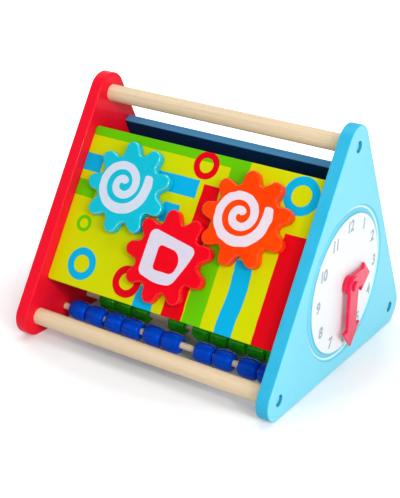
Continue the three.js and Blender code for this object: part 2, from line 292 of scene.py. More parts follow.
class Finish(Nodes):
    """One material."""

    def __init__(self, name, **uniform):
        self.material = bpy.data.materials.new(name)
        self.material.use_nodes = True
        super().__init__(self.material.node_tree)
        self.shader = self.tree.nodes["Principled BSDF"]
        for socket, value in uniform.items():
            self.shader.inputs[socket.replace("_", " ")].default_value = value
        self.place = self.node("TexCoord", {}, {}, "Object")

    def mapped(self, scale=(1, 1, 1), turn=(0, 0, 0), shift=(0, 0, 0)):
        sockets = {"Vector": self.place, "Scale": scale, "Rotation": turn, "Location": shift}
        return self.node("Mapping", {}, sockets)

    def noise(self, size, detail=3, stretch=(1, 1, 1), rough=0.5, warp=0):
        """Soft noise whose grains are about that size in mm, or longer along a stretched axis."""
        place = self.mapped(scale=[1 / (size * mm * long) for long in stretch])
        return self.node("TexNoise", {}, {"Vector": place, "Scale": 1, "Detail": detail,
                                          "Roughness": rough, "Distortion": warp})

    def axis(self, name, place=None):
        return self.node("SeparateXYZ", {}, {0: place or self.place}, name)

    def bump(self, height, depth):
        """A relief of that real depth in mm, for the normal of the surface."""
        return self.node("Bump", {}, {"Height": height, "Distance": depth * mm, "Strength": 1})

    def show(self, base, roughness, normal=None):
        self.feed(self.shader.inputs["Base Color"], base)
        self.feed(self.shader.inputs["Roughness"], roughness)
        if normal:
            self.feed(self.shader.inputs["Normal"], normal)


def gloss_paint(name, face, edge, well_painted_shade, inner, outer, rings=()):
    """Sprayed gloss coat: a little uneven, deeper in colour round the rim, with a faint orange peel.
    The lighter faces are a painted sheen of the light, and the darker screw wells are painted shade.
    Each ring round the dial, a band of painted shade or painted highlight in the groove, starts and
    ends so many mm beyond it, and has a colour and a share."""
    finish = Finish(name, Coat_Weight=0.12, Coat_Roughness=0.1, Specular_IOR_Level=0.05)
    middle, half = (inner + outer) / 2, abs(outer - inner) / 2
    y, z = finish.axis("Y"), finish.axis("Z")
    from_dial_axis = apart(y, z, dial_centre.yz)
    deep = abs(finish.axis("X") - middle).below(half - 0.5 * mm, 0.9 * mm)
    rim = deep * (1 - from_dial_axis.below(dial_radius + groove_width + 2 * mm, 1 * mm))
    cloud = finish.noise(45, 3)
    grain = finish.noise(1.1, 4, stretch=(14, 1, 26))
    # Painted sheen: the faces are lighter than the rim, for the light that the faces catch.
    base = finish.mix(rim, colour(face), colour(edge))
    # Painted shade down the walls of each screw well.
    for centre in dowel_centres.values():
        well_shade_mask = apart(y, z, centre).below(screw_well_radius + 0.3 * mm, 0.3 * mm)
        base = finish.mix(well_shade_mask * deep, base, colour(well_painted_shade))
    # Painted shade and painted highlight in bands round the dial's groove.
    for low, high, tint, share in rings:
        band = from_dial_axis.within(dial_radius + low * mm, dial_radius + high * mm, 0.7 * mm)
        base = finish.mix(band * share, base, colour(tint))
    base = finish.mix(cloud.within(0.35, 0.65, 0.3) * 0.10, base, colour([part + 26 for part in face]))
    base = finish.mix(grain.below(0.42, 0.2) * 0.04, base, colour(edge, 0.8))
    peel = finish.noise(1.6, 2)
    relief = peel * 0.5 + grain * 0.5
    finish.show(base, 0.3 + cloud * 0.12, finish.bump(relief, 0.06))
    return finish


def rounded_triangle(name, inner, outer):
    """Three discs at the dowels, wrapped into one plate, with both rims rounded over."""
    middle, thickness = (inner + outer) / 2, abs(outer - inner)
    piece = merged(name, [cylinder(name, 96, panel_corner, thickness, (middle, y, z), along_x)
                          for y, z in dowel_centres.values()])
    edit(piece)
    everything()
    bpy.ops.mesh.convex_hull()
    bpy.ops.mesh.dissolve_limited(angle_limit=radians(1))
    round_over(piece, flat_at(0, inner, outer), panel_rim, 5)
    done()
    return piece


def blind_drill(mouth, floor, y, z, radius, sides, step):
    """A drill from over the mouth down to the floor, in edit mode, the middle of its end selected."""
    start = mouth + copysign(drill_spare, mouth - floor)
    tool = cylinder("drill", sides, radius, abs(floor - start), ((start + floor) / 2, y, z), along_x)
    edit(tool)
    inset(tool, flat_at(0, floor), step)
    return tool


def screw_well(inner, outer, y, z):
    """The stepped drill for one dowel screw: a well for its head and a narrow bore behind it."""
    way = 1 if outer > inner else -1
    floor = outer - way * screw_well_depth
    tool = blind_drill(outer, floor, y, z, screw_well_radius, 40, screw_well_radius - screw_bore_radius)
    draw_by(inner - floor - way * drill_spare, 0, 0)
    done()
    return tool


def rod_seat(inner, outer, y, z, radius, depth):
    """A drill with a blunt point that goes that deep into the inner face."""
    way = 1 if outer > inner else -1
    tool = blind_drill(inner, inner + way * depth, y, z, radius, 32, radius * 0.3)
    bpy.ops.transform.translate(value=(way * radius * 0.25, 0, 0))
    done()
    return tool


def round_rim(panel, face, centre, radius, size):
    """In edit mode, rounds over the circle of edges of that radius in a face of the panel."""
    def on_circle(corner):
        return abs((corner.co.yz - Vector(centre)).length - radius) < rim_tolerance
    round_over(panel, lambda edge: flat_at(0, face)(edge) and all(map(on_circle, edge.verts)), size, 2)


# The face colour is painted lighter than the rim's, a painted sheen of the light on the faces; the
# screw well colour is painted shade.
paint_colours = {  # face, rim, screw well
    "red": ((246, 16, 40), (250, 4, 40), (150, 4, 24)),
    "blue": ((134, 226, 248), (8, 172, 216), (40, 138, 172)),
}
paint_slots = {"red": "red_paint", "blue": "light_blue_paint"}
# Painted light in the dial's groove: the blue and dark bands are painted shade and the near-white band
# is a painted highlight along its outer wall. Each runs from and to so many mm beyond the dial's edge,
# with a colour and a share.
groove_painted_light = [
    (-1, 3.8, (116, 206, 236), 0.8),
    (-0.6, 0.5, (70, 160, 184), 0.6),
    (3.0, 3.9, (84, 178, 204), 0.5),
    (4.1, 5.7, (226, 255, 255), 0.9),
    (6.2, 7.2, (104, 192, 216), 0.7),
]
for side, (inner, outer) in panel_faces.items():
    panel = rounded_triangle(f"{side}_panel_board", inner, outer)
    drills = [screw_well(inner, outer, y, z) for y, z in dowel_centres.values()]
    drills += [rod_seat(inner, outer, y, rod_height, rod_seat_radius, rod_seat_depth) for y in rod_rows]
    if side == "blue":
        drills.append(rod_seat(outer, inner, *dial_centre.yz, pin_seat_radius, pin_seat_depth))
        ring = add("groove", bpy.ops.mesh.primitive_torus_add, major_segments=144, minor_segments=20,
                   major_radius=dial_radius + groove_width / 2, minor_radius=groove_width / 2)
        flatten = (1, 1, 2 * groove_depth / groove_width)
        put(ring, dial_centre + Vector((groove_lift, 0, 0)), along_x, flatten)
        drills.append(ring)
    boolean(panel, merged("drills", drills))
    edit(panel)
    for centre in dowel_centres.values():
        round_rim(panel, outer, centre, screw_well_radius, 0.4 * mm)
    if side == "blue":
        for radius in (dial_radius, dial_radius + groove_width):
            round_rim(panel, outer, dial_centre.yz, radius, 0.25 * mm)
    done()
    shade(panel)
    # Only the blue panel has the groove's painted shade and highlight.
    painted_groove_bands = groove_painted_light if side == "blue" else ()
    paint = gloss_paint(f"{side} gloss paint", *paint_colours[side], inner, outer, painted_groove_bands)
    fit(panel, paint, "frame", paint_slots[side], f"{side}_end_panel")


# ----------------------------------------
# Screws and plugs. A steel wood screw goes through each panel corner into the dowel's end, and a
# dished plug in the panel's paint is pressed in over its head, a little below the panel's face.

plug_radius = 4.8 * mm
plug_height = 2.4 * mm
plug_recess = 2.5 * mm
plug_rim = 0.9 * mm
plug_dish = 0.25 * mm
plug_dish_edge = 1.6 * mm


def mottled(name, one, other, tone, rough, spread, depth, relief=None, **uniform):
    """A plain surface of two close colours in soft noise, with a faint relief."""
    finish = Finish(name, **uniform)
    tone = finish.noise(*tone)
    relief = finish.noise(*relief) if relief else tone
    base = finish.mix(tone, colour(one), colour(other))
    finish.show(base, rough + tone * spread, finish.bump(relief, depth))
    return finish


turning = (0.5, 4, (9, 1, 1))
steel = mottled("zinc plated steel", (150, 152, 156), (212, 214, 218), turning, 0.24, 0.2, 0.03,
                Metallic=1)
for side, (inner, outer) in panel_faces.items():
    way = 1 if outer > inner else -1
    top = outer - way * plug_recess
    # The plugs take the faces' colour all over, painted sheen and all.
    face_paint = paint_colours[side][0]
    paint = gloss_paint(f"{side} plug paint", face_paint, face_paint, face_paint, inner, outer)
    for corner, (y, z) in dowel_centres.items():
        middle = (top - way * plug_height / 2, y, z)
        plug = cylinder(f"{side}_{corner}_plug", 40, plug_radius, plug_height, middle, along_x)
        edit(plug)
        round_over(plug, flat_at(0, top), plug_rim, 4)
        inset(plug, flat_at(0, top), plug_dish_edge)
        bpy.ops.transform.translate(value=(-way * plug_dish, 0, 0))
        done()
        face_out(plug)
        shade(plug)
        fit(plug, paint, "frame", paint_slots[side], f"{side}_{corner}_screw_plug")
        dress(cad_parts[f"{side}_{corner}_screw"], steel)


# ----------------------------------------
# Dowels. Three 15 mm dowels of pale hardwood, sanded and clear waxed, run from panel to panel.
# Each end butts on a panel and is bored for the screw that pulls it tight; the top one is the handle.

dowel_radius = 7.5 * mm
dowel_ease = 0.3 * mm
dowel_bore_depth = 26 * mm
dowel_ends = (panel_faces["red"][0], panel_faces["blue"][0])


def waxed_wood(name, light, dark, fine=1.0):
    """Pale straight-grained wood: long fibres, soft growth bands, short dark pores, and a wax sheen."""
    finish = Finish(name, Coat_Weight=0.04, Coat_Roughness=0.35, Specular_IOR_Level=0.25)
    fibre = finish.noise(0.55 * fine, 5, stretch=(70, 1, 1), rough=0.6)
    band = finish.noise(3.2 * fine, 3, stretch=(45, 1, 0.6), warp=0.6)
    pore = finish.noise(0.3 * fine, 2, stretch=(22, 1, 1))
    pores = pore.below(0.34, 0.06)
    tone = band * 0.55 + fibre * 0.45
    base = finish.mix(tone.within(0.5, 1.2, 0.35), colour(light), colour(dark))
    base = finish.mix(pores * 0.22, base, colour(dark, 0.72))
    relief = fibre * 0.6 - pores * 0.4
    finish.show(base, 0.5 + fibre * 0.15, finish.bump(relief, 0.05))
    return finish


def round_bar(name, start, end, y, z, radius, sides, ease):
    """A turned bar along X with its end rims eased."""
    piece = cylinder(name, sides, radius, end - start, ((start + end) / 2, y, z), along_x)
    edit(piece)
    round_over(piece, flat_at(0, start, end), ease, 3)
    done()
    return piece


pale_wood = waxed_wood("waxed pale hardwood", (238, 216, 182), (224, 196, 158))
for corner, (y, z) in dowel_centres.items():
    bar = round_bar(f"{corner}_dowel_wood", *dowel_ends, y, z, dowel_radius, 72, dowel_ease)
    edit(bar)
    for end, way in zip(dowel_ends, (1, -1)):
        inset(bar, flat_at(0, end), dowel_radius - dowel_ease - screw_bore_radius)
        draw_by(way * dowel_bore_depth, 0, 0)
    done()
    shade(bar)
    fit(bar, pale_wood, "frame", "pale_wood", f"{corner}_dowel")


# ----------------------------------------
# Abacus. Five 6 mm rods sit in blind holes in the panels, and each carries ten wooden beads. A
# bead is turned to a barrel, bored, and dipped in gloss lacquer; the beads slide by hand.

rod_radius = 3 * mm
rod_ends = (-127.25 * mm, 116.75 * mm)
bead_length = 18 * mm
bead_radius = 9.25 * mm
bead_face_radius = 5.2 * mm
bead_shoulder = 3.4 * mm
bead_bore = 3.4 * mm
bead_lip = 0.35 * mm
block_seam = 0.12 * mm

# The rods' wood is painted lighter than the dowels', painted light that makes up for the shade the rods
# sit in under the boards.
rod_wood = waxed_wood("waxed rod wood", (246, 230, 204), (232, 208, 176), 0.6)
for row, y in enumerate(rod_rows):
    rod = round_bar(f"rod_wood_{row + 1}", *rod_ends, y, rod_height, rod_radius, 40, 0.4 * mm)
    shade(rod)
    fit(rod, rod_wood, "frame", "pale_wood", f"abacus_rod_{row + 1}")


def lacquer(name, base, light, coat=0.06):
    """Dipped gloss lacquer over turned wood, whose turning lines just show."""
    finish = Finish(name, Coat_Weight=coat, Coat_Roughness=0.05, Specular_IOR_Level=0.8,
                    Specular_Tint=colour(light))
    cloud = finish.noise(7, 3)
    lathe = finish.noise(0.5, 3, stretch=(1, 30, 30))
    skin = finish.noise(2.2, 2)
    shown = finish.mix(cloud.within(0.5, 1.1, 0.3) * 0.5, colour(base), colour(light))
    shown = finish.mix(lathe.below(0.4, 0.1) * 0.18, shown, colour(base, 0.7))
    finish.show(shown, 0.16 + cloud * 0.12, finish.bump(skin * 0.7 + lathe * 0.3, 0.06))
    return finish


def lone_corner(name, place):
    """A piece that is one corner so far, in edit mode and selected, to be drawn out from there."""
    piece = add(name, bpy.ops.mesh.primitive_plane_add, size=1 * mm, location=place)
    settle(piece)
    edit(piece)
    bpy.ops.mesh.select_mode(type="VERT")
    everything()
    bpy.ops.mesh.merge(type="CENTER")
    return piece


def near(place):
    place = Vector(place)
    return lambda corner: (corner.co - place).length < tiny


def sweep(centre, axis, angle, steps, **more):
    """Spins what is selected, anticlockwise as seen against the axis."""
    bpy.ops.mesh.spin(steps=steps, angle=-angle, center=centre, axis=axis, **more)


bead_rise = bead_radius - bead_face_radius
shoulder_place = bead_length / 2 - bead_shoulder
barrel_radius = shoulder_place ** 2 + bead_rise ** 2 - bead_shoulder ** 2
barrel_radius /= 2 * (bead_rise - bead_shoulder)
lean = atan2(shoulder_place, barrel_radius - bead_rise)
turned_bead = lone_corner("turned_bead", (-bead_length / 2, 0, bead_face_radius))
sweep((-shoulder_place, 0, bead_face_radius), (0, 1, 0), pi / 2 - lean, 6)
sweep((0, 0, bead_radius - barrel_radius), (0, 1, 0), 2 * lean, 10)
sweep((shoulder_place, 0, bead_face_radius), (0, 1, 0), pi / 2 - lean, 6)
lip_drop = bead_face_radius - bead_bore - bead_lip
for end in (-bead_length / 2, bead_length / 2):
    pick(turned_bead, "VERT", near((end, 0, bead_face_radius)))
    draw_by(0, 0, -lip_drop)
    draw_by(-copysign(bead_lip, end), 0, -bead_lip)
ends = [near((end, 0, bead_bore)) for end in (bead_lip - bead_length / 2, bead_length / 2 - bead_lip)]
pick(turned_bead, "VERT", lambda corner: any(test(corner) for test in ends))
bpy.ops.mesh.edge_face_add()
everything()
sweep((0, 0, 0), (1, 0, 0), 2 * pi, 48, use_auto_merge=True)
done()
face_out(turned_bead)
shade(turned_bead, 50)


def turned_copy(piece, name, turn):
    """A copy with its own mesh, turned on the spot."""
    only(piece)
    bpy.ops.object.duplicate()
    copy = bpy.context.active_object
    copy.name = copy.data.name = name
    put(copy, turn=turn)
    return copy


bead_colours = {
    "blue": ((0, 72, 210), (4, 88, 232)),
    "green": ((20, 186, 8), (60, 206, 20), 0.35),
    "yellow": ((240, 196, 0), (250, 212, 20)),
    "orange": ((250, 96, 4), (255, 118, 20)),
    "red": ((214, 16, 30), (232, 34, 44)),
}
for (hue, colours), y in zip(bead_colours.items(), rod_rows):
    coat = lacquer(f"{hue} bead lacquer", *colours)
    blocks = hue not in ("blue", "green")
    for index in range(2 if blocks else 10):
        node = f"{hue}_bead{'s' if blocks else ''}_{index + 1}"
        low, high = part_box(node)
        count = round((high.x - low.x) / bead_length)
        squeeze = 1 - block_seam / bead_length if blocks else 1
        beads = []
        for place in range(count):
            bead = turned_copy(turned_bead, "bead", ((index * 5 + place * 3) % 7, 0, 0))
            put(bead, (low.x + (place + 0.5) * bead_length, y, rod_height), scale=(squeeze, 1, 1))
            beads.append(bead)
        beads = merged(node.replace("bead", "turned_bead"), beads)
        fit(beads, coat, node, f"{hue}_bead", node)
bpy.data.objects.remove(turned_bead)


# ----------------------------------------
# Gear board. An 8 mm plywood board lies on the front slope between the panels. Its face is
# screen-printed with plain bars and rings on lime, its edges are lime too, and its back is bare.

slope = pi / 3
up_slope = Vector((0, cos(slope), sin(slope)))
off_slope = Vector((0, -sin(slope), cos(slope)))
slope_start = Vector((0, -dowel_spread, panel_corner))
board_thickness = 8 * mm
board_middle = (dowel_ends[0] + dowel_ends[1]) / 2
board_width = dowel_ends[1] - dowel_ends[0]
gear_board_span = (34.4 * mm, 177.1 * mm)  # up the slope
gear_board_face = 6.4 * mm  # out from the dowels' centres
hub_hole = 6.4 * mm
gear_centres = {
    "red": Vector((-6.25, -69.893, 91.608)) * mm,
    "cyan": Vector((-64.836, -46.002, 132.988)) * mm,
    "orange": Vector((52.336, -46.002, 132.988)) * mm,
}

lime = (210, 216, 0)
leaf = (100, 198, 0)
sky = (4, 176, 230)
scarlet = (226, 0, 22)
# Bars: left, right, low and high side in mm from the middle of the slope's foot, and the ink.
bars = [
    (-120, 44, 168.6, 180, leaf),
    (27, 44, 156, 170, leaf),
    (-120, -97, 136, 152, sky),
    (-60, 2.5, 136, 152, sky),
    (-120, -95, 113, 128, leaf),
    (-25, -8.5, 110, 127.4, sky),
    (26, 44, 30, 103, leaf),
    (92, 120, 30, 127.8, scarlet),
    (-24, -4.8, 30, 53, sky),
]
# Rings: centre along and up the slope, outer and inner radius in mm, and the ink.
rings = [
    (3.7, 165.5, 12.2, 6.4, scarlet),
    (95.9, 159.9, 16.4, 8.8, sky),
    (-96.3, 90.1, 7.5, 4.4, leaf),
    (-85.6, 55.5, 14.5, 7.8, sky),
    (-36, 52.4, 14, 7.2, scarlet),
]


def on_slope(finish, side=1):
    """A slope's own coordinates in mm: along the board, up the slope, and out from it."""
    start = slope_start.dot(up_slope), slope_start.dot(off_slope)
    shift = (-board_middle / mm, -start[0] / mm, -start[1] / mm)
    flat = finish.mapped((1 / mm, side / mm, 1 / mm), (-slope, 0, 0), shift)
    return [finish.axis(name, flat) for name in "XYZ"]


def printed_board(name):
    """Flat inks with slightly wavering edges on lime, and the bare back veneer."""
    finish = Finish(name, Coat_Weight=0.06, Coat_Roughness=0.2, Specular_IOR_Level=0.04)
    along, up, out = on_slope(finish)
    waver = finish.noise(9, 2) - 0.5
    side, height = along + waver * 1.1, up + waver * 0.9
    soft = 0.45

    shown = colour(lime)
    for left, right, low, high, ink in bars:
        inside = side.within(left, right, soft) * height.within(low, high, soft)
        shown = finish.mix(inside, shown, colour(ink))
    widening = (150 - up) * 0.0165
    red_bar = (abs(side - 15.2) - widening).below(8.0, soft)
    shown = finish.mix(red_bar * height.within(0, 150, soft), shown, colour(scarlet))
    wavy = (side - (up * 0.11).sine()).within(58.2, 74.6, soft) * height.below(97, soft)
    shown = finish.mix(wavy, shown, colour(sky))
    for across, rise, outer, inner, ink in rings:
        band = apart(side, height, (across, rise)).within(inner, outer, soft)
        shown = finish.mix(band, shown, colour(ink))

    cloud = finish.noise(30, 3)
    dots = finish.noise(0.7, 2)
    shown = finish.mix(cloud.within(0.5, 1.1, 0.4) * 0.14, shown, colour((255, 255, 120)), "MULTIPLY")
    shown = finish.mix(dots.below(0.36, 0.1) * 0.06, shown, colour((70, 80, 20)))
    back = out.below((gear_board_face - board_thickness) / mm + 0.5, 0.4)
    fibre = finish.noise(0.8, 4, stretch=(60, 1, 1))
    bare = finish.mix(fibre, colour((226, 198, 152)), colour((204, 168, 118)))
    shown = finish.mix(back, shown, bare)
    relief = finish.noise(1.2, 3, stretch=(20, 1, 1)) * 0.5 + dots * 0.3
    finish.show(shown, 0.3 + cloud * 0.1 + back * 0.3, finish.bump(relief, 0.05))
    return finish


def slope_board(name, span, face, corner, ease, side=1):
    """A flat board on a slope: a block with round corners and eased rims, tilted onto its place."""
    length = span[1] - span[0]
    piece = add(name, bpy.ops.mesh.primitive_cube_add, size=1)
    middle = (board_middle, (span[0] + span[1]) / 2, face - board_thickness / 2)
    put(piece, middle, scale=(board_width, length, board_thickness))
    edit(piece)
    round_over(piece, lambda edge: (edge.verts[0].co - edge.verts[1].co).xy.length < tiny, corner, 6)
    round_over(piece, flat_at(2, face, face - board_thickness), ease, 3)
    done()
    put(piece, slope_start, (slope, 0, 0))
    if side < 0:
        put(piece, scale=(1, -1, 1))
        face_out(piece)
    return piece


gear_board = slope_board("printed_gear_board", gear_board_span, gear_board_face, 3 * mm, 0.8 * mm)
drills = []
for centre in gear_centres.values():
    middle = centre - off_slope * board_thickness / 2
    drills.append(cylinder("hub drill", 48, hub_hole, 30 * mm, middle, (slope, 0, 0)))
boolean(gear_board, merged("drills", drills))
shade(gear_board)
fit(gear_board, printed_board("printed lime board"), "frame", "lime_print", "gear_board")


# ----------------------------------------
# Chalkboard. The rear slope is an 8 mm board in matt navy chalk paint on both sides, with traces
# of wiped chalk on the outer face.

chalk_board_span = (36 * mm, 174 * mm)
chalk_board_face = 9.9 * mm


def chalk_paint(name):
    """Dead matt paint with a fine tooth and chalk dust on the outer face, painted lighter along the
    rims as a painted highlight where the top edge catches the light.
    """
    finish = Finish(name, Specular_IOR_Level=0.08)
    along, up, out = on_slope(finish, -1)
    wiped = finish.noise(17, 5, stretch=(5, 1, 1), rough=0.6, warp=0.35)
    speck = finish.noise(0.5, 3)
    tooth = finish.noise(0.28, 2)
    low, high = (end / mm for end in chalk_board_span)
    rim = 1 - up.within(low + 0.5, high - 0.5, 0.8)
    dust = wiped.within(0.62, 1.2, 0.4) * (1 - out.below(chalk_board_face / mm - 1, 0.5))
    # Painted highlight: the rims are lighter, for the light that the board's top edge catches.
    base = finish.mix(rim, colour((4, 50, 94)), colour((74, 136, 180)))
    base = finish.mix(dust * 0.14, base, colour((146, 160, 184)))
    base = finish.mix(speck.below(0.36, 0.08) * 0.18, base, colour((4, 26, 54)))
    finish.show(base, 0.62 + speck * 0.12, finish.bump(tooth * 0.6 + speck * 0.4, 0.05))
    return finish


chalk_board = slope_board("navy_chalkboard", chalk_board_span, chalk_board_face, 1 * mm, 0.8 * mm,
                          side=-1)
shade(chalk_board)
fit(chalk_board, chalk_paint("navy chalk paint"), "frame", "chalk_paint", "chalk_board")


# ----------------------------------------
# Gears. Three moulded plastic gears with nine blunt teeth, a rounded front rim and a hollow back.
# The hub of each runs in the board, and a flanged screw behind the board keeps it in.

gear_teeth = 9
half_pitch = pi / gear_teeth
tooth_arc = 2 * pi * 37.8 * mm / gear_teeth  # on the pitch circle
tip_radius = 0.252 * tooth_arc
root_radius = 0.146 * tooth_arc
tip_centre = 41.3 * mm - tip_radius  # the tips' reach, less their radius
root_centre = 30.2 * mm + root_radius
gear_thickness = 8 * mm
gear_lift = 1 * mm
gear_face = gear_board_face + gear_lift + gear_thickness
gear_rim = 2 * mm
hollow_radius = 26.2 * mm
hollow_depth = 5 * mm
hub_radius = 6 * mm
hub_collar = 8.5 * mm
collar_height = 6 * mm
hub_end = -9.6 * mm  # behind the gear's back
hub_bore = 1.9 * mm
hub_bore_depth = 8.7 * mm
gear_phases = {"red": 20, "cyan": 21.6, "orange": 18.4}


def drawn_tooth():
    """One tooth and one gap in the X-Y plane: a round tip, a straight flank and a round root."""
    across = root_centre * sin(half_pitch)
    outward = root_centre * cos(half_pitch) - tip_centre
    flank = atan2(across, outward) - acos((tip_radius + root_radius) / hypot(across, outward))
    start = Vector((tip_centre + tip_radius * cos(flank), -tip_radius * sin(flank), 0))
    piece = lone_corner("gear", start)
    sweep((tip_centre, 0, 0), (0, 0, 1), 2 * flank, 12)
    tip_end = Vector((start.x, -start.y, 0))
    root = Vector((root_centre * cos(half_pitch), root_centre * sin(half_pitch), 0))
    root_start = root - root_radius * Vector((cos(flank), sin(flank), 0))
    pick(piece, "VERT", near(tip_end))
    draw_by(*(root_start - tip_end))
    sweep(root, (0, 0, 1), 2 * half_pitch - 2 * flank, 8)
    leaving = 2 * half_pitch - flank
    root_end = root - root_radius * Vector((cos(leaving), sin(leaving), 0))
    pick(piece, "VERT", near(root_end))
    draw_by(*(Matrix.Rotation(2 * half_pitch, 3, "Z") @ start - root_end))
    return piece


def raise_outline(thickness):
    """In edit mode, fills an outline and raises it to a plate of that thickness."""
    everything()
    bpy.ops.mesh.edge_face_add()
    draw_by(0, 0, thickness)
    turn_out()


def moulded_gear():
    """The toothed plate, its front at +Z, with its hollow back and its hub."""
    piece = drawn_tooth()
    everything()
    sweep((0, 0, 0), (0, 0, 1), 2 * half_pitch * (gear_teeth - 1), gear_teeth - 1, dupli=True)
    everything()
    bpy.ops.mesh.remove_doubles(threshold=tiny)
    raise_outline(gear_thickness)
    round_over(piece, flat_at(2, gear_thickness), gear_rim, 6)
    round_over(piece, flat_at(2, 0), 0.3 * mm, 2)
    done()
    boolean(piece, cylinder("hollow", 72, hollow_radius, 2 * hollow_depth))
    hub = cylinder("hub", 48, hub_collar, collar_height, (0, 0, collar_height / 2))
    edit(hub)
    inset(hub, flat_at(2, 0), hub_collar - hub_radius)
    draw_by(0, 0, hub_end)
    inset(hub, flat_at(2, hub_end), hub_radius - hub_bore)
    draw_by(0, 0, hub_bore_depth)
    done()
    boolean(piece, hub, "UNION")
    face_out(piece)
    shade(piece)
    return piece


def moulded_plastic(name, base, light, gloss=0.9, polish=0, index=1.5):
    """Gloss plastic: an even colour, a faint flow cloud, and a gear's rim more polished, if asked."""
    finish = Finish(name, Coat_Weight=0.05, Coat_Roughness=0.06, Specular_IOR_Level=gloss,
                    Specular_Tint=colour(light), Coat_IOR=index)
    if polish:
        rim = on_slope(finish)[2].within(gear_face / mm - 2.3, gear_face / mm - 0.35, 0.3)
        finish.feed(finish.shader.inputs["Coat Weight"], 0.05 + rim * polish)
    flow = finish.noise(18, 3, warp=1.2)
    skin = finish.noise(2.6, 2)
    scuff = finish.noise(0.6, 4, stretch=(8, 1, 1))
    shown = finish.mix(flow.within(0.55, 1.2, 0.35) * 0.6, colour(base), colour(light))
    finish.show(shown, 0.16 + flow * 0.08 + scuff.below(0.36, 0.1) * 0.08, finish.bump(skin, 0.05))
    return finish


def white_ink(name, base, shade):
    """Thick white pad-print ink on the plastic, with pinholes that hardly show."""
    finish = Finish(name, Coat_Weight=0.05, Coat_Roughness=0.15, Specular_IOR_Level=0.1)
    cloud = finish.noise(6, 3)
    fine = finish.noise(0.5, 2)
    shown = finish.mix(cloud, colour(base), colour(shade))
    shown = finish.mix(fine.below(0.34, 0.08) * 0.12, shown, colour(shade, 0.9))
    finish.show(shown, 0.38 + cloud * 0.1, finish.bump(fine * 0.6 + cloud * 0.4, 0.03))
    return finish


plastics = {
    "cyan": moulded_plastic("cyan plastic", (0, 186, 208), (10, 198, 220), polish=0.8, index=1.9),
    "red": moulded_plastic("red plastic", (238, 0, 24), (248, 6, 32), polish=0.4),
    "orange": moulded_plastic("orange plastic", (248, 60, 0), (255, 78, 4), polish=0.4),
}
motif_inks = {
    "cyan": white_ink("cool white ink", (218, 228, 240), (206, 216, 232)),
    "red": white_ink("grey white ink", (228, 220, 234), (214, 206, 224)),
    "orange": white_ink("warm white ink", (240, 224, 232), (226, 210, 222)),
}
motif_height = 0.12 * mm
motif_sink = 0.04 * mm


def seat_on_gear(piece, hue, lift):
    """Tilts a flat piece onto the slope, round a gear's centre, that far out from the board."""
    put(piece, gear_centres[hue] + off_slope * lift, (slope, 0, 0))


# Stations of the spiral from its outer end: degrees, radius and width in mm.
spiral_stations = [
    (28.7, 26.7, 7.6), (14, 25.2, 8.9), (0, 24.0, 9.2), (-45, 22.4, 9.2), (-90, 20.8, 8.7),
    (-135, 20.1, 7.8), (-180, 19.1, 7.4), (-225, 18.2, 7.5), (-270, 16.4, 7.1), (-315, 14.4, 7.6),
    (-360, 12.3, 7.5), (-405, 10.2, 7.0), (-450, 8.3, 7.2), (-540, 6.1, 6.9), (-630, 4.8, 7.0),
    (-695, 3.5, 6.6),
]
spiral_centre = Vector((-5.0, 1.8, 0)) * mm
spiral_steps = 6
spiral_end_rounds = (1.8 * mm, 2.8 * mm)
spiral_wobble = {"cyan": 0.12, "orange": 0.25}  # of the outer edge, in mm


def spiral_ribbon(name, wobble):
    """A hand-cut spiral band with rounded ends, drawn out step by step from its outer end."""
    course = []
    for (start, *first), (end, *second) in zip(spiral_stations, spiral_stations[1:]):
        for step in range(spiral_steps):
            share = step / spiral_steps
            degrees = start + (end - start) * share
            radius, width = (low + (high - low) * share for low, high in zip(first, second))
            waves = sin(radians(11 * degrees)) + 0.6 * sin(radians(17 * degrees))
            uneven = wobble * waves * min(1, max(0, radius / 6 - 2))  # in full from 18 mm out
            course.append((degrees, (radius + uneven / 2) * mm, (width + uneven) * mm))
    degrees, radius, width = spiral_stations[-1]
    course.append((degrees, radius * mm, width * mm))
    middles = [spiral_centre + Matrix.Rotation(radians(degrees), 3, "Z") @ Vector((radius, 0, 0))
               for degrees, radius, width in course]
    lengths = [0]
    for one, following in zip(middles, middles[1:]):
        lengths.append(lengths[-1] + (following - one).length)

    def drawn_width(length, width):
        for corner, room in zip(spiral_end_rounds, (length, lengths[-1] - length)):
            short = max(0, corner - room)
            width -= 2 * (corner - sqrt(corner ** 2 - short ** 2))
        return width

    widths = [drawn_width(length, width) for length, (degrees, radius, width) in zip(lengths, course)]
    turns = [radians(min(0, degrees)) for degrees, radius, width in course]
    across = Vector((widths[0] / 2, 0, 0))
    piece = lone_corner(name, middles[0] - across)
    draw_by(*(2 * across))
    everything()
    for index in range(1, len(course)):
        middle = middles[index]
        draw_by(*(middle - middles[index - 1]))
        bpy.ops.transform.resize(value=(widths[index] / widths[index - 1],) * 3, center_override=middle)
        turned = turns[index - 1] - turns[index]
        bpy.ops.transform.rotate(value=turned, orient_axis="Z", center_override=middle)
    done()
    return piece


def thicken_print(piece):
    """Gives a flat print its thickness of ink."""
    edit(piece)
    turn_out()
    draw_by(0, 0, motif_height)
    done()
    face_out(piece)


# The ring's outlines in mm: each corner's place, and how far its rounding reaches along the sides.
ring_outer = [(-21.6, 22.0, 7), (25.8, 13.2, 6), (21.6, -0.5, 5), (12.0, -21.8, 5), (-3.0, -23.2, 5),
              (-22.3, -18.5, 5)]
ring_inner = [(-9.8, 9.6, 4), (9.0, 7.2, 4.5), (13.4, -1.5, 4), (10.4, -12.6, 4.5), (-9.8, -12.6, 3.5)]


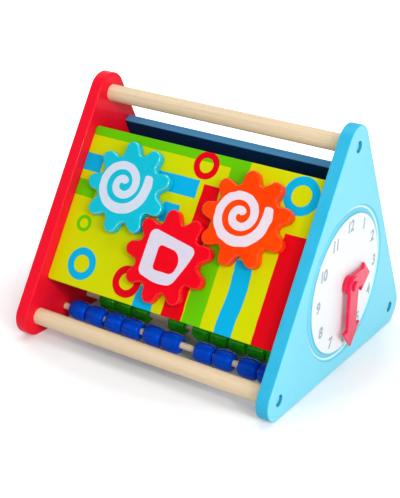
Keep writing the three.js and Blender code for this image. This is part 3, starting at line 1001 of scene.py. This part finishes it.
def rounded_plate(name, outline):
    """A flat print with that outline and rounded corners."""
    places = [Vector((x, y, 0)) * mm for x, y, reach in outline]
    plate = lone_corner(name, places[0])
    for place, following in zip(places, places[1:]):
        draw_by(*(following - place))
    everything()
    bpy.ops.mesh.edge_face_add()
    for place, (x, y, reach) in zip(places, outline):
        pick(plate, "VERT", near(place))
        bpy.ops.mesh.bevel(offset=reach * mm, offset_type="OFFSET", segments=8, affect="VERTICES")
    done()
    thicken_print(plate)
    return plate


def four_sided_ring(name):
    """A tilted, hand-cut four-sided ring: the outer plate with the inner one cut out."""
    piece, core = rounded_plate(name, ring_outer), rounded_plate("core", ring_inner)
    put(core, (0, 0, -motif_height), scale=(1, 1, 3))
    boolean(piece, core)
    return piece


gear_blank = moulded_gear()
for hue, centre in gear_centres.items():
    gear = turned_copy(gear_blank, f"{hue}_moulded_gear", (0, 0, radians(gear_phases[hue])))
    seat_on_gear(gear, hue, gear_lift)
    fit(gear, plastics[hue], f"{hue}_gear", f"{hue}_plastic", f"{hue}_gear")
    if hue == "red":
        motif = four_sided_ring("red_gear_motif")
    else:
        motif = spiral_ribbon(f"{hue}_gear_motif", spiral_wobble[hue])
        thicken_print(motif)
    seat_on_gear(motif, hue, gear_lift + gear_thickness - motif_sink)
    shade(motif)
    fit(motif, motif_inks[hue], f"{hue}_gear", f"{hue}_plastic")
bpy.data.objects.remove(gear_blank)

# The flanged screw behind each hub: a wide thin flange, a low domed head and a cross slot.
flange_radius = 8.5 * mm
flange_height = 1.4 * mm
dome_radius = 4.5 * mm
dome_height = 1.6 * mm
shank_radius = 1.6 * mm
shank_length = 8.4 * mm
slot_size = (4.6 * mm, 1 * mm, 2 * mm)


def flanged_screw():
    piece = cylinder("gear screw", 48, flange_radius, flange_height, (0, 0, -flange_height / 2))
    edit(piece)
    inset(piece, flat_at(2, -flange_height), flange_radius - dome_radius)
    draw_by(0, 0, -dome_height)
    round_over(piece, flat_at(2, -flange_height - dome_height), 1.3 * mm, 5)
    round_over(piece, lambda edge: flat_at(2, -flange_height)(edge) and
               all(corner.co.xy.length > flange_radius - tiny for corner in edge.verts), 0.4 * mm, 2)
    inset(piece, flat_at(2, 0), flange_radius - shank_radius)
    draw_by(0, 0, shank_length - shank_radius)
    draw_by(0, 0, shank_radius)
    bpy.ops.transform.resize(value=(0.15, 0.15, 1), center_override=(0, 0, shank_length))
    done()
    for turn in (0, pi / 2):
        blade = add("slot", bpy.ops.mesh.primitive_cube_add, size=1)
        put(blade, (0, 0, -flange_height - dome_height), (0, 0, turn), slot_size)
        boolean(piece, blade)
    face_out(piece)
    shade(piece)
    return piece


screw_blank = flanged_screw()
for hue in gear_centres:
    screw = turned_copy(screw_blank, f"{hue}_flanged_screw", (0, 0, radians(gear_phases[hue])))
    seat_on_gear(screw, hue, gear_lift + hub_end - 0.3 * mm)
    fit(screw, steel, f"{hue}_gear", "screw_steel", f"{hue}_gear_screw")
bpy.data.objects.remove(screw_blank)


# ----------------------------------------
# Clock. A white dial with grey numerals is printed on the blue panel inside the milled ring. Two
# moulded arrow hands turn stiffly on one pin, each by itself, and the pin's low dome holds them.

dial_print = 0.06 * mm
dial_thickness = 0.1 * mm
print_radius = dial_radius - 0.3 * mm
numeral_ring = 52 * mm
# The ring of numerals is printed a little off the middle and turned back a little.
numeral_turn = -4  # degrees
numeral_shift = Vector((0, 2.6 * mm, -0.8 * mm))
numeral_height = 10.6 * mm
numeral_fatter = 0.4 * mm
numeral_ink = 0.04 * mm
facing_out = (pi / 2, 0, pi / 2)  # the turn that takes the X-Y plane onto the dial

dial_middle =dial_centre + Vector((dial_print - dial_thickness / 2, 0, 0))
dial = cylinder("printed_dial", 144, print_radius, dial_thickness, dial_middle, along_x)
edit(dial)
pick(dial, "FACE", lambda face: abs(face.normal.x) > 0.9)
bpy.ops.mesh.delete(type="ONLY_FACE")
shrink = pin_seat_radius / print_radius
for way in (1, -1):
    level = dial_middle.x + way * dial_thickness / 2
    pick(dial, "EDGE", flat_at(0, level))
    draw_by(0, 0, 0)
    bpy.ops.transform.resize(value=(1, shrink, shrink), center_override=(level, 0, dial_centre.z))
pick(dial, "EDGE", lambda edge: all(
    (corner.co - dial_centre).yz.length < pin_seat_radius + tiny for corner in edge.verts))
bpy.ops.mesh.bridge_edge_loops()
done()
face_out(dial)
shade(dial)
white_print = mottled("white dial print", (250, 252, 253), (242, 247, 250), (20, 3), 0.32, 0.1, 0.03,
                      (0.8, 2), Coat_Weight=0.1, Coat_Roughness=0.15, Specular_IOR_Level=0.1)
fit(dial, white_print, "frame", "light_blue_paint")

numerals = []
for hour in range(1, 13):
    turn = radians(30 * hour + numeral_turn)
    text = add("numeral", bpy.ops.object.text_add)
    text.data.body = str(hour)
    text.data.align_x, text.data.align_y = "CENTER", "CENTER"
    text.data.size = numeral_height
    text.data.space_character = 0.9
    text.data.offset = numeral_fatter
    text.data.extrude = numeral_ink / 2
    bpy.ops.object.convert(target="MESH")
    text = bpy.context.active_object
    tall = numeral_height / text.dimensions.y
    put(text, scale=(0.98 * tall, tall, 1))
    edit(text)
    everything()
    bpy.ops.mesh.remove_doubles(threshold=tiny / 5)
    bpy.ops.mesh.dissolve_degenerate(threshold=tiny / 5)
    done()
    face_out(text)
    across, rise = numeral_ring * sin(turn), numeral_ring * cos(turn)
    put(text, dial_centre + numeral_shift + Vector((dial_print + 0.01 * mm, across, rise)), facing_out)
    numerals.append(text)
numerals = merged("dial_numerals", numerals)
shade(numerals)
grey_print = mottled("grey numeral print", (144, 167, 176), (170, 188, 195), (0.6, 3), 0.45, 0.1, 0.02)
fit(numerals, grey_print, "frame", "light_blue_paint")

hand_half_width = 8.2 * mm
hand_hub_radius = 8.8 * mm
hand_thickness = 3.1 * mm
hand_rim = 0.7 * mm
boss_radius = 7 * mm
boss_height = 1.9 * mm
boss_overlap = 1.5 * mm
hand_bore = 3.4 * mm
# Length, arrowhead length, arrowhead half-width, angle clockwise from twelve, lift off the panel.
hands = {
    "hour": (37 * mm, 14 * mm, 13 * mm, 91, 2.2 * mm),
    "minute": (58 * mm, 18 * mm, 15.3 * mm, 176.3, 5.6 * mm),
}


def onto_dial(piece, degrees, lift):
    """From the X-Y plane, twelve at +Y, onto the dial and turned clockwise by that angle."""
    put(piece, turn=(0, 0, -radians(degrees)))
    put(piece, dial_centre + Vector((lift, 0, 0)), facing_out)


def arrow_hand(name, length, head_length, head_half):
    """A bar with a round end and a barbed arrowhead: an outline, raised to its thickness."""
    shoulder = sqrt(hand_hub_radius ** 2 - hand_half_width ** 2)
    neck = length - head_length
    start = Vector((-hand_half_width, shoulder, 0))
    piece = lone_corner(name, start)
    turn = 2 * pi - 2 * asin(hand_half_width / hand_hub_radius)
    sweep((0, 0, 0), (0, 0, 1), turn, 36)
    place = Vector((hand_half_width, shoulder, 0))
    pick(piece, "VERT", near(place))
    for x, y in [(hand_half_width, neck), (head_half, neck), (0, length), (-head_half, neck),
                 (-hand_half_width, neck)]:
        following = Vector((x, y, 0))
        draw_by(*(following - place))
        place = following
    raise_outline(hand_thickness)
    round_over(piece, flat_at(2, 0, hand_thickness), hand_rim, 4)
    done()
    return piece


hand_plastic = moulded_plastic("pink red plastic", (234, 34, 76), (250, 62, 104), gloss=0.3)
for name, (length, head_length, head_half, degrees, lift) in hands.items():
    hand = arrow_hand(f"{name}_arrow_hand", length, head_length, head_half)
    if name == "hour":
        middle = (0, 0, (boss_overlap - boss_height) / 2)
        boolean(hand, cylinder("boss", 48, boss_radius, boss_height + boss_overlap, middle), "UNION")
    boolean(hand, cylinder("bore", 48, hand_bore, 30 * mm))
    face_out(hand)
    shade(hand)
    onto_dial(hand, degrees, lift)
    fit(hand, hand_plastic, f"{name}_hand", "hand_plastic", f"{name}_hand")

pin_radius = 3 * mm
pin_head_radius = 4.6 * mm
pin_head_base = 9 * mm
pin_head_height = 1.5 * mm
pin_length = 18 * mm
pin_middle = (0, 0, pin_head_base + pin_head_height / 2)
pin = cylinder("domed_clock_pin", 48, pin_head_radius, pin_head_height, pin_middle)
edit(pin)
inset(pin, flat_at(2, pin_head_base), pin_head_radius - pin_radius)
draw_by(0, 0, -pin_length)
round_over(pin, flat_at(2, pin_head_base + pin_head_height), 1.3 * mm, 6)
done()
face_out(pin)
shade(pin)
onto_dial(pin, 0, 0)
fit(pin, hand_plastic, "frame", "hand_plastic", "clock_pin")


# ----------------------------------------
# Studio. The toy stands on a white table under six lamps: a soft box and a low lamp beside the
# camera, a soft box and a small lamp on the clock's side, a soft box overhead and one behind.

scene = bpy.context.scene
scene.view_settings.view_transform = "Standard"


def shows_background(nodes):
    """1 for rays that show the background, which is to be pure white, and 0 for all others."""
    kinds = ("Is Camera Ray", "Is Glossy Ray", "Is Transmission Ray")
    camera_ray, gloss_ray, clear_ray = (nodes.node("LightPath", {}, {}, kind) for kind in kinds)
    return camera_ray.either(gloss_ray).either(clear_ray)


table = add("table", bpy.ops.mesh.primitive_plane_add, size=6, location=(0, 0, 0))
table_finish = Finish("white table", Specular_IOR_Level=0.1)
grain = table_finish.noise(60, 2)
table_finish.show(table_finish.mix(grain, colour((217, 217, 218)), colour((222, 222, 222))), 0.6)
# Painted glow: the table glows for rays that show the background, not at all close beside the toy, a
# little further off and fully white beyond, so that the toy's own shadow shows near it.
away = apart(table_finish.axis("X") * 0.8, table_finish.axis("Y"), (-0.021, 0))
beside, beyond = 1 - away.below(0.1, 0.04), 1 - away.below(0.21, 0.14)
strength = shows_background(table_finish) * (beside * 0.24 + beyond * 0.8)
glow = table_finish.node("Emission", {}, {"Strength": strength})
lit = Field(table_finish, table_finish.shader.outputs[0])
both = table_finish.node("AddShader", {}, {0: lit, 1: glow})
table_finish.feed(table_finish.tree.nodes["Material Output"].inputs["Surface"], both)
dress(table, table_finish)

world = bpy.data.worlds.new("studio")
scene.world = world
world.use_nodes = True
room = Nodes(world.node_tree)
seen = shows_background(room)
room_light = 0.38
backdrop = room.tree.nodes["Background"]
room.feed(backdrop.inputs["Color"], room.mix(seen, (0.92, 0.96, 1, 1), (1, 1, 1, 1)))
room.feed(backdrop.inputs["Strength"], room_light + seen * (1 - room_light))

# Name, place, size in metres, power in watts.
lamps = [
    ("camera side soft box", (0.95, -1.05, 1.05), 0.5, 6.0),
    ("low front lamp", (0.45, -1.2, 0.45), 0.2, 1.6),
    ("clock side soft box", (1.3, -0.55, 0.5), 0.55, 3.6),
    ("clock side small lamp", (1.1, -0.75, 0.75), 0.16, 4.2),
    ("overhead soft box", (-0.15, 0.2, 1.5), 1.2, 8.0),
    ("far side soft box", (-1.3, 0.6, 0.75), 0.7, 5.0),
]
target = Vector((0, 0, 0.09))


def hang(data, place, turn):
    holder = bpy.data.objects.new(data.name, data)
    holder.location, holder.rotation_euler = place, turn
    scene.collection.objects.link(holder)
    return holder


for name, place, size, power in lamps:
    lamp = bpy.data.lights.new(name, "AREA")
    lamp.shape, lamp.size, lamp.energy = "DISK", size, power
    hang(lamp, place, (target - Vector(place)).to_track_quat("-Z", "Y").to_euler())

focal_length = 1133.974  # in pixels of an image 498 high
camera = bpy.data.cameras.new("camera")
camera.sensor_width = 36
camera.lens = 36 * focal_length / 498
azimuth, elevation, roll = 0.5536943, 0.4044587, -0.0445249
facing = Matrix.Rotation(azimuth, 3, "Z") @ Matrix.Rotation(pi / 2 - elevation, 3, "X")
facing = facing @ Matrix.Rotation(-roll, 3, "Z")
scene.camera = hang(camera, (0.470633, -0.796057, 0.474148), facing.to_euler())
